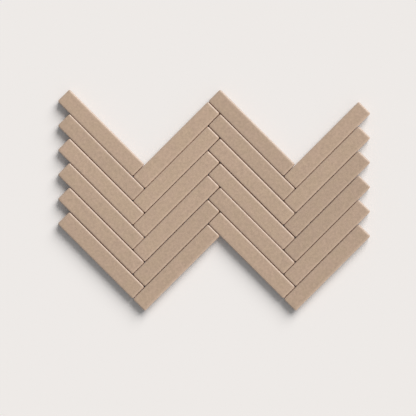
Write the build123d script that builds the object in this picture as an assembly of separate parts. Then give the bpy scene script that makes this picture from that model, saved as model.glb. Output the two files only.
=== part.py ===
from build123d import *

import os
from math import sqrt

# Herringbone mosaic sheet: narrow pressed ceramic bars, laid at 45 degrees in interlocking
# columns and held at an even joint by an open glass-fibre net glued to their backs.
# Millimetres, +Z up, lying face up. The origin is the centre of the sheet's underside.

# Bar
BAR_LENGTH = 101.0
BAR_WIDTH = 16.0
BAR_THICKNESS = 8.0
CORNER_RADIUS = 1.0        # upright corners, seen in plan
FACE_BEVEL = 0.6           # broken edge all round the face
SIDE_DRAFT = 1.0           # degrees that the sides lean in towards the back

# Keying lanes pressed into the back of each bar
LANE_COUNT = 2
LANE_WIDTH = 4.0
LANE_DEPTH = 0.5
LANE_RIB = 2.0             # land left between two lanes
LANE_END_LAND = 4.0        # land left at each end of the bar

# Layout
JOINT = 0.5                # gap between neighbouring bars, at the face
COLUMNS = 4
ROWS = 6

# Backing net
STRAND_WIDTH = 1.0
STRAND_THICKNESS = 0.4
NET_CELLS = 5              # strand spaces across one column
NET_INSET = 1.5            # how far the net is trimmed back from the edge of the bars

# The layout is worked out along the bars: u runs down to the right, v up to the right.
MODULE = BAR_WIDTH + JOINT             # from one bar to the next, across the bars
STEP = BAR_LENGTH + JOINT              # from one column to the next but one, along u and v
COLUMN_PITCH = STEP / sqrt(2)
NET_PITCH = COLUMN_PITCH / NET_CELLS

SHEET_WIDTH = (COLUMNS * BAR_LENGTH + (COLUMNS - 1) * JOINT + BAR_WIDTH) / sqrt(2)
SHEET_TOP = BAR_WIDTH / sqrt(2)
SHEET_BOTTOM = -(BAR_LENGTH + (2 * ROWS - 1) * MODULE) / sqrt(2)
SHEET_CENTRE = Vector(SHEET_WIDTH / 2, (SHEET_TOP + SHEET_BOTTOM) / 2)


def on_sheet(u, v):
    """The point at u, v in the sheet's own X and Y."""
    return Vector((u + v) / sqrt(2), (v - u) / sqrt(2)) - SHEET_CENTRE


def first_corner(column):
    """Lowest u and v of the first bar of a column."""
    shift = (column // 2) * STEP
    return (shift, shift) if column % 2 == 0 else (shift + STEP, shift)


def bar_place(column, row):
    """Where a bar's centre lies, and the way the bar is turned."""
    u, v = first_corner(column)
    falls = column % 2 == 0
    along, across = BAR_LENGTH / 2, BAR_WIDTH / 2
    centre = on_sheet(
        u + row * MODULE + (along if falls else across),
        v - row * MODULE + (across if falls else along),
    )
    return Location((centre.X, centre.Y, STRAND_THICKNESS), (0, 0, -45 if falls else 45))


def bar():
    """One bar, its back on the XY plane: drafted sides, round corners, a bevelled face and a keyed back."""
    body = Box(BAR_LENGTH, BAR_WIDTH, BAR_THICKNESS, align=(Align.CENTER, Align.CENTER, Align.MIN))
    sides = body.faces().filter_by(Axis.Z, reverse=True)
    body = draft(sides, Plane((0, 0, BAR_THICKNESS)), -SIDE_DRAFT)
    body = fillet(body.edges().filter_by(Plane.XY, reverse=True), CORNER_RADIUS)
    body = chamfer(body.faces().sort_by(Axis.Z)[-1].edges(), FACE_BEVEL)
    lane = Rectangle(BAR_LENGTH - 2 * LANE_END_LAND, LANE_WIDTH)
    lanes = Sketch() + GridLocations(0, LANE_WIDTH + LANE_RIB, 1, LANE_COUNT) * lane
    return body - extrude(lanes, LANE_DEPTH)


def seam(index):
    """X of the upright line between two columns, or of the net's own edge at the sheet's two sides."""
    if index == 0:
        return MODULE / sqrt(2) + NET_INSET - SHEET_CENTRE.X
    if index == COLUMNS:
        return SHEET_WIDTH - MODULE / sqrt(2) - NET_INSET - SHEET_CENTRE.X
    return (index * STEP + BAR_WIDTH) / sqrt(2) - SHEET_CENTRE.X


def strip_outline(column):
    """The part of the net behind one column: upright sides, and ends that slant with its bars."""
    u, v = first_corner(column)
    depth = (ROWS - 1) * MODULE + BAR_WIDTH - 2 * NET_INSET
    left, right = seam(column), seam(column + 1)
    if column % 2 == 0:
        top = on_sheet(u, v + BAR_WIDTH - NET_INSET)
        slope = -1
    else:
        top = on_sheet(u + NET_INSET, v)
        slope = 1
    top_left = top.Y + slope * (left - top.X)
    top_right = top.Y + slope * (right - top.X)
    drop = depth * sqrt(2)
    corners = [(left, top_left), (right, top_right), (right, top_right - drop), (left, top_left - drop)]
    return make_face(Polyline(*corners, close=True))


def net_strip(column):
    """The net behind one column. A thread end too short to reach a crossing is trimmed off."""
    across = SHEET_TOP - SHEET_BOTTOM
    first_x = seam(1) + NET_PITCH / 2
    uprights = [
        Pos(first_x + i * NET_PITCH, 0) * Rectangle(STRAND_WIDTH, across)
        for i in range(-NET_CELLS, (COLUMNS - 1) * NET_CELLS)
    ]
    levels = int(across / NET_PITCH / 2)
    threads = [
        Pos(0, i * NET_PITCH) * Rectangle(SHEET_WIDTH, STRAND_WIDTH)
        for i in range(-levels, levels + 1)
    ]
    strip = strip_outline(column) & (Sketch() + uprights + threads)
    return extrude(max(strip.faces(), key=lambda face: face.area), STRAND_THICKNESS)


def main():
    os.makedirs("parts", exist_ok=True)
    one_bar = bar()
    for column in range(COLUMNS):
        for row in range(ROWS):
            laid = bar_place(column, row) * one_bar
            export_step(laid, f"parts/bar_column_{column + 1}_row_{row + 1}.step")
        export_step(net_strip(column), f"parts/backing_net_column_{column + 1}.step")


main()
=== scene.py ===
from math import cos, pi, radians, sin

import bpy
import numpy as np
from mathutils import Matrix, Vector, noise


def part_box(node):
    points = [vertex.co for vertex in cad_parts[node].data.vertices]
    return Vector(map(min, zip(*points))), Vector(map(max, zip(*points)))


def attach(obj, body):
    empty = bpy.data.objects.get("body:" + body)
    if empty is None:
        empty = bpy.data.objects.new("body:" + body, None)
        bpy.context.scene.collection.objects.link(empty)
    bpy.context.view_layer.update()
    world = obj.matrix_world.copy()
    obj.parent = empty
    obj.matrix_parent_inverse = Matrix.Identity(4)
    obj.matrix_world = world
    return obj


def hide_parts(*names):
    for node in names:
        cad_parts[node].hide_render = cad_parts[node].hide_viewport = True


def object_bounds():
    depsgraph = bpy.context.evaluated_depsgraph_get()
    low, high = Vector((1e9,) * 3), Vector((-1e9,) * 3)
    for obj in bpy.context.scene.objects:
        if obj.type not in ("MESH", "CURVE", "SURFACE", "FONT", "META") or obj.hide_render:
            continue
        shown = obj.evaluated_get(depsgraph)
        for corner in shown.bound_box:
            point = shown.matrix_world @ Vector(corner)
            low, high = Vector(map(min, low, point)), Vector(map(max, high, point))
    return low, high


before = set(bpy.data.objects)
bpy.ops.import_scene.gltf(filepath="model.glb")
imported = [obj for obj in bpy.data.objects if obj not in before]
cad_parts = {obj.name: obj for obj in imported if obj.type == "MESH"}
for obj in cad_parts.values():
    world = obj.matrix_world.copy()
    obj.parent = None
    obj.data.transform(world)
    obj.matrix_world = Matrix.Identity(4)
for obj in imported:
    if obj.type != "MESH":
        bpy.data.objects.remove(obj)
cad_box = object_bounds()

# Herringbone mosaic sheet, dressed: satin ceramic bars with soft, slightly uneven edges on a
# woven glass-fibre net. Metres, +Z up, face up, in the frame of the CAD model.

# Layout
COLUMNS = 4
ROWS = 6
BAR_TURN = 45.0                # degrees from the sheet's width; odd columns fall, even ones rise
NET_CELLS = 5                  # strand spaces across one column

# Bar
EDGE_REACH = 0.0023            # how far the soft edge reaches in over the face
EDGE_DROP = 0.00085            # how far it falls
FACE_CORNER = 0.0004           # corners of the flat of the face, seen in plan
CORNER_ROUND = 0.0016          # upright corners, seen in plan
BACK_ARRIS = 0.00025           # broken edge round the back

# Keying lanes in the back
LANE_RIB = 0.002
LANE_WIDTH = 0.004
LANE_DEPTH = 0.0005
LANE_END_LAND = 0.004
LANE_WALL = 0.00015            # half the run of a lane's sloping wall

# Mesh of a bar
GRID_STEP = 0.00125            # spacing of the mesh on the face and the back
WALL_CLEARANCE = GRID_STEP / 3  # how near to a lane's wall another mesh line may lie
CORNER_CELLS = 4
EDGE_RINGS = 9
SIDE_RINGS = 5
SAME = 1e-9                    # lengths closer than this are the same
FOOT_REACH = 1e-6              # points this near the lowest one are on the CAD bar's back

# Unevenness of a pressed and fired bar, and a painted light falloff across the sheet
FACE_WAVE = 0.00005
FACE_WAVE_LENGTH = 0.018
EDGE_WANDER = 0.00004
EDGE_WANDER_LENGTH = 0.007
CHIP_DEPTH = 0.00022
CHIP_LENGTH = 0.0016
CHIP_RARITY = 0.52             # noise level over which the edge is chipped
LAY_SHIFT = 0.00032            # how far a bar may lie out of true, across its length
TONE_SPREAD = 0.075            # how much lighter or darker one bar is than the next
PAINTED_FALLOFF = 0.16              # painted light falloff: how much darker bars get, per metre to the right and down

# Glaze over the edge and down the side of a bar
RIM_WEAR_AND_HIGHLIGHT = 0.35                # wear and painted highlight where the soft edge starts
BREAK_START = 2.5              # how late on the soft edge the glaze breaks to a warmer colour
GLAZE_END = 4.5                # how soon the glaze ends, down the side

# Noise: each bar has a seed of its own, and each use of the noise is kept apart from the others
SEED_SHIFT = Vector((7.31, 3.17, 5.77))
EDGE_SEED = 20
CHIP_SEED = 50
LAY_LINE = (0.61, 0.7, 0.3)    # step for each seed, and the place of the line that it steps along
TONE_LINE = (0.73, 0.4, 0.1)
TEXTURE_SHIFT = (0.2, 0.05, 0.03)

# Net
YARN_SIDES = 8
YARN_END = np.array([(0, 1, 2, 3), (0, 3, 4, 7), (4, 5, 6, 7)])  # the eight sides' end, in quads
YARN_STEPS = 14                # along one strand space
WARP_WIDTH = 0.00046
WARP_THICKNESS = 0.00016
WARP_SWAY = 0.00026            # how far a warp yarn swings to each side of its strand
WEFT_WIDTH = 0.00098
WEFT_THICKNESS = 0.00009
STRAND_REACH = 0.0006          # half a strand of the CAD net, and a little more

# Ceramic colours
CLOUD_DARK = (0.363, 0.260, 0.180, 1)
CLOUD_PALE = (0.370, 0.260, 0.187, 1)
MOTTLE_GAIN = (1.28, 1.28, 1.28, 1)
SPECKLE_COLOUR = (0.27, 0.178, 0.115, 1)
# paler edge colour: partly worn glaze, partly a painted highlight along the soft edges
WORN_AND_HIGHLIGHT_COLOUR = (0.47, 0.345, 0.255, 1)
BREAK_COLOUR = (0.60, 0.27, 0.18, 1)
RAW_DARK = (0.205, 0.178, 0.158, 1)
RAW_PALE = (0.24, 0.208, 0.185, 1)

# Ceramic textures: scale per metre, detail and roughness, then the levels of noise that are used
CLOUDS = (75.0, 3.0)
CLOUD_LEVELS = (0.35, 0.65)
MOTTLE = (420.0, 4.0, 0.6)
MOTTLE_LEVELS = (0.3, 0.7)
SPECKLE = (2600.0, 2.0)
SPECKLE_LEVELS = (0.66, 0.74)
SPECKLE_SHARE = (0.0, 0.35)
# where along the edges the wear and the painted highlight show
WEAR_AND_HIGHLIGHT = (300.0, 3.0)
WEAR_AND_HIGHLIGHT_LEVELS = (0.2, 0.8)
WEAR_AND_HIGHLIGHT_SHARE = (0.25, 0.75)
GRAIN = (1500.0, 3.0, 0.6)
GRAIN_BUMP = (0.25, 0.00004)   # strength and depth
DIMPLES = (260.0, 2.0)
DIMPLE_BUMP = (0.3, 0.0001)
SATIN_ROUGHNESS = (0.32, 0.38)
RAW_ROUGHNESS = 0.8
CERAMIC_IOR = 1.6

# Net and floor
NET_DARK = (0.54, 0.52, 0.47, 1)
NET_PALE = (0.68, 0.66, 0.61, 1)
COAT = (700.0, 3.0)
COAT_LEVELS = (0.3, 0.7)
COAT_ROUGHNESS = (0.35, 0.55)
FIBRES = (5000.0, 2.0)
FIBRE_BUMP = (0.4, 0.00003)
PAPER_DARK = (0.957, 0.910, 0.875, 1)
PAPER_PALE = (0.969, 0.922, 0.887, 1)
PAPER_GRAIN = (900.0, 3.0)
FLOOR_HALF = 12.0
FLOOR_DROP = 0.0001

# Light: each share is of the light that a level surface gets, and angles are in degrees
SKY_COLOUR = (0.955, 0.995, 1.03, 1)
BACKDROP_COLOUR = (0.855, 0.823, 0.799, 1)
WORLD_SHARE = 0.28
KEY_SHARE = 0.62
KEY_AZIMUTH = 57.0
KEY_ELEVATION = 37.0
KEY_SIZE = 44.0
FILL_SHARE = 0.16
FILL_AZIMUTH = -47.0
FILL_ELEVATION = 13.0
FILL_SIZE = 20.0

# Camera
FIELD = 0.3960                 # width of the picture at the face of the bars
AIM = (-0.0058, -0.00745)      # centre of the picture
LENS = 250.0
SENSOR = 36.0


def ripple(points, wavelength, seed):
    """Smooth noise from -1 to 1 at each point, with about that wavelength."""
    shift = SEED_SHIFT * seed
    return np.array([noise.noise(Vector(point) / wavelength + shift) for point in points])


def draw(seed, line):
    """One value of noise, from -1 to 1, for each seed along a line."""
    step, y, z = line
    return noise.noise(Vector((seed * step, y, z)))


def grid_lines(half, corner, walls):
    """Lines from -half to half: close together in the corners and on both sides of each wall."""
    inner = half - corner
    cells = round(2 * inner / GRID_STEP)
    even = np.linspace(-inner, inner, cells + 1)
    doubled = np.array([wall + side * LANE_WALL for wall in walls for side in (-1, 1)])
    clear = [
        line
        for line in even
        if abs(abs(line) - inner) < SAME or np.abs(doubled - line).min() > WALL_CLEARANCE
    ]
    ends = np.arange(CORNER_CELLS) * corner / CORNER_CELLS
    return np.concatenate([ends - half, np.sort(np.concatenate([clear, doubled])), (half - ends)[::-1]])


def round_corners(x, y, half_x, half_y, corner):
    """Moves the square corners of a grid onto quarter circles."""
    inner_x, inner_y = half_x - corner, half_y - corner
    over_x = np.clip(np.abs(x) - inner_x, 0, None) / corner
    over_y = np.clip(np.abs(y) - inner_y, 0, None) / corner
    x_out = np.minimum(np.abs(x), inner_x) + corner * over_x * np.sqrt(1 - over_y ** 2 / 2)
    y_out = np.minimum(np.abs(y), inner_y) + corner * over_y * np.sqrt(1 - over_x ** 2 / 2)
    return np.sign(x) * x_out, np.sign(y) * y_out


def border(index):
    """The outer points of a grid of indices, in turn round its outline."""
    return np.concatenate([index[0, :-1], index[:-1, -1], index[-1, :0:-1], index[:0:-1, 0]])


def grid_faces(index):
    """Faces between the points of a grid of indices."""
    return np.stack([index[:-1, :-1], index[:-1, 1:], index[1:, 1:], index[1:, :-1]], -1).reshape(-1, 4)


def band_faces(upper, lower):
    """Faces between two closed rings of points."""
    return np.stack([upper, lower, np.roll(lower, -1), np.roll(upper, -1)], -1)


def stretch_ends(lines, corner, extra):
    """The same lines, with the corner zones at both ends made longer."""
    inner = np.abs(lines).max() - corner
    over = np.clip(np.abs(lines) - inner, 0, None)
    return np.sign(lines) * (np.minimum(np.abs(lines), inner) + over * (corner + extra) / corner)


def lane_depth(x, y, half_length):
    """Depth of the keying lanes at points of the back."""
    near, far = LANE_RIB / 2, LANE_RIB / 2 + LANE_WIDTH
    end = half_length - LANE_END_LAND
    stops = [near - LANE_WALL, near + LANE_WALL, far - LANE_WALL, far + LANE_WALL]
    across = np.interp(np.abs(y), stops, [0, 1, 1, 0])
    along = np.interp(np.abs(x), [end - LANE_WALL, end + LANE_WALL], [1, 0])
    return LANE_DEPTH * across * along


class BarForm:
    """Points and faces of one bar, built from its face outwards and down, in its own axes."""

    def __init__(self, length, width, thickness, inset, seed):
        self.half = np.array([length / 2, width / 2])
        self.thickness = thickness
        self.inset = inset
        self.seed = seed
        self.points = []
        self.faces = []
        self.edge = []
        self.glaze = []
        self.breaks = []
        self.count = 0

    def add(self, points, edge, glaze, breaks=0.0):
        """Adds points, with how much wear and painted highlight they get and how glazed and broken in
        colour they are, and returns their indices.
        """
        index = np.arange(self.count, self.count + len(points))
        self.count += len(points)
        self.points.append(points)
        self.edge.append(np.broadcast_to(edge, len(points)))
        self.glaze.append(np.broadcast_to(glaze, len(points)))
        self.breaks.append(np.broadcast_to(breaks, len(points)))
        return index

    def build(self):
        """The whole bar: its points, its faces, and how much wear and painted highlight each point gets and
        how glazed and broken in colour it is.
        """
        corner = FACE_CORNER
        half_x, half_y = self.half - EDGE_REACH
        lane_end = self.half[0] - LANE_END_LAND
        lane_sides = [LANE_RIB / 2, LANE_RIB / 2 + LANE_WIDTH]
        lines_x = grid_lines(half_x, corner, [-lane_end, lane_end])
        lines_y = grid_lines(half_y, corner, [side * sign for side in lane_sides for sign in (-1, 1)])
        rim, normals, chip = self.face(lines_x, lines_y, half_x, half_y, corner)
        ring = self.soft_edge(rim, normals, chip)
        ring = self.sides(ring, normals)
        self.back(ring, lines_x, lines_y, corner)
        parts = (self.points, self.faces, self.edge, self.glaze, self.breaks)
        return [np.concatenate(part) for part in parts]

    def face(self, lines_x, lines_y, half_x, half_y, corner):
        """The flat of the face, a little wavy, and chipped here and there along its outline."""
        x, y = np.meshgrid(lines_x, lines_y)
        shape = x.shape
        x, y = round_corners(x.ravel(), y.ravel(), half_x, half_y, corner)
        points = np.stack([x, y, np.zeros_like(x)], -1)
        wave = ripple(points, FACE_WAVE_LENGTH, self.seed)
        points[:, 2] = self.thickness - FACE_WAVE * (0.5 + 0.5 * wave)
        outline = border(np.arange(len(points)).reshape(shape))
        inner = np.array([half_x - corner, half_y - corner])
        normals = points[outline, :2] - np.clip(points[outline, :2], -inner, inner)
        normals = normals / np.linalg.norm(normals, axis=1)[:, None]
        chance = ripple(points[outline], CHIP_LENGTH, self.seed + CHIP_SEED)
        chip = CHIP_DEPTH * np.clip((chance - CHIP_RARITY) / (1 - CHIP_RARITY), 0, 1)
        points[outline, 2] -= chip / 2
        edge = np.zeros(len(points))
        # wear and painted highlight at the rim of the flat face
        edge[outline] = RIM_WEAR_AND_HIGHLIGHT
        index = self.add(points, edge, 1.0)
        self.faces.append(grid_faces(index.reshape(shape)))
        self.rim_points = points[outline]
        self.reach = self.edge_reach(inner, normals)
        return index[outline], normals, chip

    def edge_reach(self, inner, normals):
        """How far each point of the face's outline is from the bar's full outline."""
        plan = self.rim_points[:, :2]
        reach = normals * EDGE_REACH
        in_corner = (np.abs(plan) > inner - SAME).all(1)
        middle = np.sign(plan[in_corner]) * (self.half - CORNER_ROUND)
        reach[in_corner] = middle + normals[in_corner] * CORNER_ROUND - plan[in_corner]
        return reach

    def soft_edge(self, rim, normals, chip):
        """The soft edge: a quarter oval from the face out to the full outline and down."""
        wander = ripple(self.rim_points, EDGE_WANDER_LENGTH, self.seed + EDGE_SEED)
        self.give = EDGE_WANDER * (0.5 + 0.5 * wander) + chip
        upper = rim
        for step in range(1, EDGE_RINGS + 1):
            turn = pi / 2 * step / EDGE_RINGS
            points = self.rim_points.copy()
            points[:, :2] += (self.reach - normals * self.give[:, None]) * sin(turn)
            points[:, 2] -= EDGE_DROP * (1 - cos(turn)) + chip / 2 * sin(turn)
            # wear and painted highlight, strongest halfway round the soft edge
            worn_and_highlit = sin(2 * turn) ** 0.5 if step < EDGE_RINGS else 0.0
            lower = self.add(points, worn_and_highlit, 1.0, max(0.0, 1 - BREAK_START * cos(turn)))
            self.faces.append(band_faces(upper, lower))
            upper = lower
        self.edge_points = points
        return upper

    def sides(self, upper, normals):
        """The sides, which lean in towards the back, with the glaze ending on the way down."""
        top = self.edge_points[:, 2]
        for step in range(1, SIDE_RINGS + 1):
            part = step / SIDE_RINGS
            points = self.edge_points.copy()
            points[:, 2] = top + (BACK_ARRIS - top) * part
            points[:, :2] += normals * (self.give * part - self.inset * part)[:, None]
            lower = self.add(points, 0.0, max(0.0, 1 - GLAZE_END * part), 1.0)
            self.faces.append(band_faces(upper, lower))
            upper = lower
        return upper

    def back(self, ring, lines_x, lines_y, corner):
        """The broken edge round the back, and the back with its keying lanes."""
        extra = EDGE_REACH - self.inset - BACK_ARRIS
        lines_x, lines_y = stretch_ends(lines_x, corner, extra), stretch_ends(lines_y, corner, extra)
        x, y = np.meshgrid(lines_x, lines_y)
        shape = x.shape
        x, y = round_corners(x.ravel(), y.ravel(), lines_x.max(), lines_y.max(), corner + extra)
        points = np.stack([x, y, lane_depth(x, y, self.half[0])], -1)
        index = self.add(points, 0.0, 0.0).reshape(shape)
        self.faces.append(band_faces(ring, border(index)))
        self.faces.append(grid_faces(index)[:, ::-1])


def add_attribute(mesh, name, kind, values):
    """Gives each point of a mesh a named value that its material reads."""
    field = "vector" if kind == "FLOAT_VECTOR" else "value"
    mesh.attributes.new(name, kind, "POINT").data.foreach_set(field, np.asarray(values, float).ravel())


def make_piece(name, points, faces, material, nodes):
    """A smooth mesh piece that stands for CAD nodes and rides on the sheet."""
    mesh = bpy.data.meshes.new(name)
    mesh.from_pydata(points.tolist(), [], faces.tolist())
    mesh.polygons.foreach_set("use_smooth", np.ones(len(mesh.polygons), bool))
    mesh.materials.append(material)
    piece = bpy.data.objects.new(name, mesh)
    bpy.context.scene.collection.objects.link(piece)
    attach(piece, "root")
    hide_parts(*nodes)
    return piece


def node_points(node):
    """The points of a CAD node."""
    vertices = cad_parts[node].data.vertices
    points = np.empty(len(vertices) * 3)
    vertices.foreach_get("co", points)
    return points.reshape(-1, 3)


def bar_axes(column):
    """The directions along a column's bars, across them and up, one to a row."""
    turn = radians(-BAR_TURN if column % 2 else BAR_TURN)
    return np.array([[cos(turn), sin(turn), 0], [-sin(turn), cos(turn), 0], [0, 0, 1]])


def lay_shift(column, row, seed):
    """How far a bar lies out of true: not at all in the end rows, and only inwards in the outer columns."""
    if row in (1, ROWS):
        return 0.0
    shift = LAY_SHIFT * draw(seed, LAY_LINE)
    return abs(shift) if column in (1, COLUMNS) else shift


def make_bar(column, row, material):
    """One bar, fitted to the CAD bar's own place, length, width, thickness and draft."""
    node = f"bar_column_{column}_row_{row}"
    seed = (column - 1) * ROWS + row
    axes = bar_axes(column)
    solid = node_points(node) @ axes.T
    low, high = solid.min(0), solid.max(0)
    foot = solid[solid[:, 2] < low[2] + FOOT_REACH]
    length, width, thickness = high - low
    inset = high[1] - foot[:, 1].max()
    points, faces, edge, glaze, breaks = BarForm(length, width, thickness, inset, seed).build()

    shift = lay_shift(column, row, seed)
    middle = np.array([(low[0] + high[0]) / 2, (low[1] + high[1]) / 2 + shift, low[2]])
    piece = make_piece(f"ceramic_{node}", (points + middle) @ axes, faces, material, [node])

    right, up, _ = middle @ axes
    # random tone per bar, plus a painted light falloff that darkens bars towards the lower right
    tone_and_painted_falloff = 1 + TONE_SPREAD * draw(seed, TONE_LINE) - PAINTED_FALLOFF * (right - up)
    add_attribute(piece.data, "bar_point", "FLOAT_VECTOR", points + np.array(TEXTURE_SHIFT) * seed)
    add_attribute(piece.data, "bar_edge", "FLOAT", edge)
    add_attribute(piece.data, "bar_glaze", "FLOAT", glaze)
    add_attribute(piece.data, "bar_break", "FLOAT", breaks)
    add_attribute(piece.data, "bar_tone_and_painted_falloff", "FLOAT", np.full(len(points), tone_and_painted_falloff))
    return piece


def tube(path, width, thickness, axis):
    """An oval tube round a path that runs mostly along one axis."""
    around = np.arange(YARN_SIDES) * 2 * pi / YARN_SIDES
    oval = np.zeros((YARN_SIDES, 3))
    oval[:, 1 - axis] = width / 2 * np.cos(around)
    oval[:, 2] = thickness / 2 * np.sin(around)
    points = (path[:, None, :] + oval[None]).reshape(-1, 3)
    rings = np.arange(len(points)).reshape(len(path), YARN_SIDES)
    faces = [band_faces(upper, lower) for upper, lower in zip(rings[:-1], rings[1:])]
    faces = np.concatenate(faces + [rings[0][YARN_END], rings[-1][YARN_END[:, ::-1]]])
    return points, faces if axis == 1 else faces[:, ::-1]


def strand_places(solid, axis, place, pitch):
    """Places along the CAD net's strand that crosses an axis at a place, or none if no strand does."""
    run = solid[np.abs(solid[:, axis] - place) < STRAND_REACH, 1 - axis]
    if len(run) == 0:
        return run
    return np.linspace(run.min(), run.max(), round(np.ptp(run) / pitch * YARN_STEPS))


def warp_yarns(solid, seam, pitch, middle):
    """Pairs of yarns along Y, each twisting round the other and over and under the weft."""
    lift = middle - WARP_THICKNESS / 2
    tubes = []
    for i in range(-NET_CELLS, (COLUMNS - 1) * NET_CELLS):
        x = seam + (i + 0.5) * pitch
        y = strand_places(solid, 0, x, pitch)
        if len(y):
            for ply in (0, pi):
                angle = pi * y / pitch + pi / 2 + ply
                path = np.stack([x + WARP_SWAY * np.cos(angle), y, middle + lift * np.sin(angle)], -1)
                tubes.append(tube(path, WARP_WIDTH, WARP_THICKNESS, 1))
    return tubes


def weft_yarns(solid, pitch, middle):
    """Flat yarns along X, straight between the warp yarns."""
    levels = round(np.abs(solid[:, 1]).max() / pitch)
    tubes = []
    for i in range(-levels, levels + 1):
        x = strand_places(solid, 1, i * pitch, pitch)
        if len(x):
            path = np.stack([x, np.full_like(x, i * pitch), np.full_like(x, middle)], -1)
            tubes.append(tube(path, WEFT_WIDTH, WEFT_THICKNESS, 0))
    return tubes


def make_net(column, material):
    """The net behind one column. Column 2 has a seam on both sides, so it gives the spacing."""
    node = f"backing_net_column_{column}"
    solid = node_points(node)
    seam_left, seam_right = (corner.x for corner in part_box("backing_net_column_2"))
    pitch = (seam_right - seam_left) / NET_CELLS
    middle = solid[:, 2].max() / 2
    tubes = warp_yarns(solid, seam_left, pitch, middle) + weft_yarns(solid, pitch, middle)
    starts = np.cumsum([0] + [len(points) for points, _ in tubes])
    points = np.concatenate([points for points, _ in tubes])
    faces = np.concatenate([faces + start for (_, faces), start in zip(tubes, starts)])
    return make_piece(f"woven_{node}", points, faces, material, [node])


class Nodes:
    """A material's node tree, with short calls to add and join nodes."""

    def __init__(self, material):
        material.use_nodes = True
        self.tree = material.node_tree
        self.shader = self.tree.nodes["Principled BSDF"]

    def put(self, socket, value):
        """Joins another node's output to a socket, or sets the socket to a plain value."""
        if isinstance(value, bpy.types.NodeSocket):
            self.tree.links.new(value, socket)
        else:
            socket.default_value = value

    def add(self, kind, inputs=(), **settings):
        node = self.tree.nodes.new(kind)
        for name, value in settings.items():
            setattr(node, name, value)
        for socket, value in dict(inputs).items():
            self.put(node.inputs[socket], value)
        return node

    def place(self):
        """Points of the object, in its own axes."""
        return self.add("ShaderNodeTexCoord").outputs["Object"]

    def noise(self, vector, scale, detail, roughness=0.5):
        inputs = {"Vector": vector, "Scale": scale, "Detail": detail, "Roughness": roughness}
        return self.add("ShaderNodeTexNoise", inputs).outputs["Fac"]

    def attribute(self, name, output="Fac"):
        return self.add("ShaderNodeAttribute", attribute_name=name).outputs[output]

    def ramp(self, value, levels, share=(0.0, 1.0)):
        """Stretches the part of a value between two levels to the range of a share."""
        inputs = {"Value": value, "From Min": levels[0], "From Max": levels[1]}
        inputs.update({"To Min": share[0], "To Max": share[1]})
        return self.add("ShaderNodeMapRange", inputs).outputs["Result"]

    def times(self, a, b):
        return self.add("ShaderNodeMath", {0: a, 1: b}, operation="MULTIPLY").outputs[0]

    def between(self, factor, a, b):
        """A plain number between two others."""
        return self.add("ShaderNodeMix", {0: factor, 2: a, 3: b}).outputs[0]

    def mix(self, factor, a, b, blend="MIX"):
        """A mix of two colours."""
        node = self.add("ShaderNodeMix", data_type="RGBA", blend_type=blend)
        for socket, value in {0: factor, 6: a, 7: b}.items():
            self.put(node.inputs[socket], value)
        return node.outputs[2]

    def bump(self, height, strength, distance, normal=None):
        inputs = {"Height": height, "Strength": strength, "Distance": distance}
        if normal:
            inputs["Normal"] = normal
        return self.add("ShaderNodeBump", inputs).outputs["Normal"]

    def feed(self, socket, value):
        """Joins a node's output to the shader."""
        self.tree.links.new(value, self.shader.inputs[socket])


def ceramic_material():
    """Satin taupe ceramic: cloudy colour, fine speckle, paler edges that are partly wear and partly a
    painted highlight, bars painted darker towards the lower right as light falloff, and a dull raw back.
    """
    material = bpy.data.materials.new("satin_taupe_ceramic")
    nodes = Nodes(material)
    place = nodes.attribute("bar_point", "Vector")
    edge = nodes.attribute("bar_edge")
    glaze = nodes.attribute("bar_glaze")

    clouds = nodes.ramp(nodes.noise(place, *CLOUDS), CLOUD_LEVELS)
    mottle = nodes.ramp(nodes.noise(place, *MOTTLE), MOTTLE_LEVELS)
    colour = nodes.mix(clouds, CLOUD_DARK, CLOUD_PALE)
    colour = nodes.mix(mottle, colour, nodes.mix(1.0, colour, MOTTLE_GAIN, "MULTIPLY"))
    speckle = nodes.ramp(nodes.noise(place, *SPECKLE), SPECKLE_LEVELS, SPECKLE_SHARE)
    colour = nodes.mix(speckle, colour, SPECKLE_COLOUR)
    # paler soft edges: partly wear, partly a painted highlight
    worn_and_highlit = nodes.times(edge, nodes.ramp(nodes.noise(place, *WEAR_AND_HIGHLIGHT), WEAR_AND_HIGHLIGHT_LEVELS, WEAR_AND_HIGHLIGHT_SHARE))
    colour = nodes.mix(worn_and_highlit, colour, WORN_AND_HIGHLIGHT_COLOUR)
    colour = nodes.mix(nodes.attribute("bar_break"), colour, BREAK_COLOUR)
    colour = nodes.mix(glaze, nodes.mix(mottle, RAW_DARK, RAW_PALE), colour)
    # per-bar tone, with the painted light falloff towards the lower right, multiplies the colour
    tone_and_painted_falloff = nodes.add("ShaderNodeCombineColor", {axis: nodes.attribute("bar_tone_and_painted_falloff") for axis in range(3)})
    nodes.feed("Base Color", nodes.mix(1.0, colour, tone_and_painted_falloff.outputs[0], "MULTIPLY"))

    satin = nodes.ramp(mottle, (0.0, 1.0), SATIN_ROUGHNESS)
    nodes.feed("Roughness", nodes.between(glaze, RAW_ROUGHNESS, satin))
    nodes.shader.inputs["IOR"].default_value = CERAMIC_IOR
    grain = nodes.bump(nodes.noise(place, *GRAIN), *GRAIN_BUMP)
    nodes.feed("Normal", nodes.bump(nodes.noise(place, *DIMPLES), *DIMPLE_BUMP, grain))
    return material


def net_material():
    """Glass-fibre yarn in a pale, slightly glossy coating."""
    material = bpy.data.materials.new("coated_glass_fibre")
    nodes = Nodes(material)
    place = nodes.place()
    coat = nodes.noise(place, *COAT)
    nodes.feed("Base Color", nodes.mix(coat, NET_DARK, NET_PALE))
    nodes.feed("Roughness", nodes.ramp(coat, COAT_LEVELS, COAT_ROUGHNESS))
    nodes.feed("Normal", nodes.bump(nodes.noise(place, *FIBRES), *FIBRE_BUMP))
    return material


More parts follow.
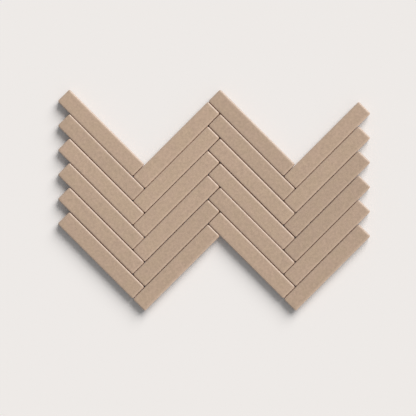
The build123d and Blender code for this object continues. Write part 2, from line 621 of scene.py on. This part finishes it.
def floor_material():
    """Pale matt paper, with the faintest grain."""
    material = bpy.data.materials.new("pale_paper")
    nodes = Nodes(material)
    grain = nodes.noise(nodes.place(), *PAPER_GRAIN)
    nodes.feed("Base Color", nodes.mix(grain, PAPER_DARK, PAPER_PALE))
    nodes.shader.inputs["Roughness"].default_value = 1.0
    nodes.shader.inputs["Specular IOR Level"].default_value = 0.0
    return material


def make_floor():
    """A wide floor just under the sheet."""
    mesh = bpy.data.meshes.new("floor")
    corners = [(-1, -1), (1, -1), (1, 1), (-1, 1)]
    points = [(x * FLOOR_HALF, y * FLOOR_HALF, -FLOOR_DROP) for x, y in corners]
    mesh.from_pydata(points, [], [(0, 1, 2, 3)])
    mesh.materials.append(floor_material())
    floor = bpy.data.objects.new("floor", mesh)
    bpy.context.scene.collection.objects.link(floor)


def make_world():
    """A dim, slightly blue sky for light, and a pale backdrop that is seen, mirrored or seen through."""
    world = bpy.data.worlds.new("studio")
    bpy.context.scene.world = world
    world.use_nodes = True
    nodes, links = world.node_tree.nodes, world.node_tree.links
    sky = nodes["Background"]
    sky.inputs["Color"].default_value = SKY_COLOUR
    sky.inputs["Strength"].default_value = WORLD_SHARE
    backdrop = nodes.new("ShaderNodeBackground")
    backdrop.inputs["Color"].default_value = BACKDROP_COLOUR
    path = nodes.new("ShaderNodeLightPath")
    seen = path.outputs["Is Camera Ray"]
    for ray in ("Is Glossy Ray", "Is Transmission Ray"):
        either = nodes.new("ShaderNodeMath")
        either.operation = "MAXIMUM"
        links.new(seen, either.inputs[0])
        links.new(path.outputs[ray], either.inputs[1])
        seen = either.outputs[0]
    blend = nodes.new("ShaderNodeMixShader")
    links.new(seen, blend.inputs[0])
    links.new(sky.outputs[0], blend.inputs[1])
    links.new(backdrop.outputs[0], blend.inputs[2])
    links.new(blend.outputs[0], nodes["World Output"].inputs["Surface"])


def make_sun(name, share, azimuth, elevation, size):
    """A soft sun that gives a level surface that share of full light. Azimuth 0 is from +X."""
    lamp = bpy.data.lights.new(name, "SUN")
    lamp.energy = share * pi / sin(radians(elevation))
    lamp.angle = radians(size)
    sun = bpy.data.objects.new(name, lamp)
    turn, rise = radians(azimuth), radians(elevation)
    towards = Vector((cos(turn) * cos(rise), sin(turn) * cos(rise), sin(rise)))
    sun.rotation_euler = towards.to_track_quat("Z", "Y").to_euler()
    bpy.context.scene.collection.objects.link(sun)
    return sun


def make_lights(bars):
    """A key light for the whole scene, and a low fill light for the bars alone."""
    make_sun("key", KEY_SHARE, KEY_AZIMUTH, KEY_ELEVATION, KEY_SIZE)
    fill = make_sun("fill", FILL_SHARE, FILL_AZIMUTH, FILL_ELEVATION, FILL_SIZE)
    lit = bpy.data.collections.new("lit_by_fill")
    for bar in bars:
        lit.objects.link(bar)
    fill.light_linking.receiver_collection = lit
    fill.visible_glossy = False


def make_camera(face_height):
    """Straight down on the sheet, from as far as the lens needs for the picture's field."""
    data = bpy.data.cameras.new("camera")
    data.lens = LENS
    data.sensor_width = SENSOR
    camera = bpy.data.objects.new("camera", data)
    camera.location = (*AIM, face_height + FIELD * LENS / SENSOR)
    bpy.context.scene.collection.objects.link(camera)
    bpy.context.scene.camera = camera


def main():
    ceramic = ceramic_material()
    glass = net_material()
    bars = []
    for column in range(1, COLUMNS + 1):
        for row in range(1, ROWS + 1):
            bars.append(make_bar(column, row, ceramic))
    for column in range(1, COLUMNS + 1):
        make_net(column, glass)
    make_floor()
    make_world()
    make_lights(bars)
    make_camera(cad_box[1].z)
    bpy.context.scene.view_settings.view_transform = "Standard"


main()

bpy.context.view_layer.update()
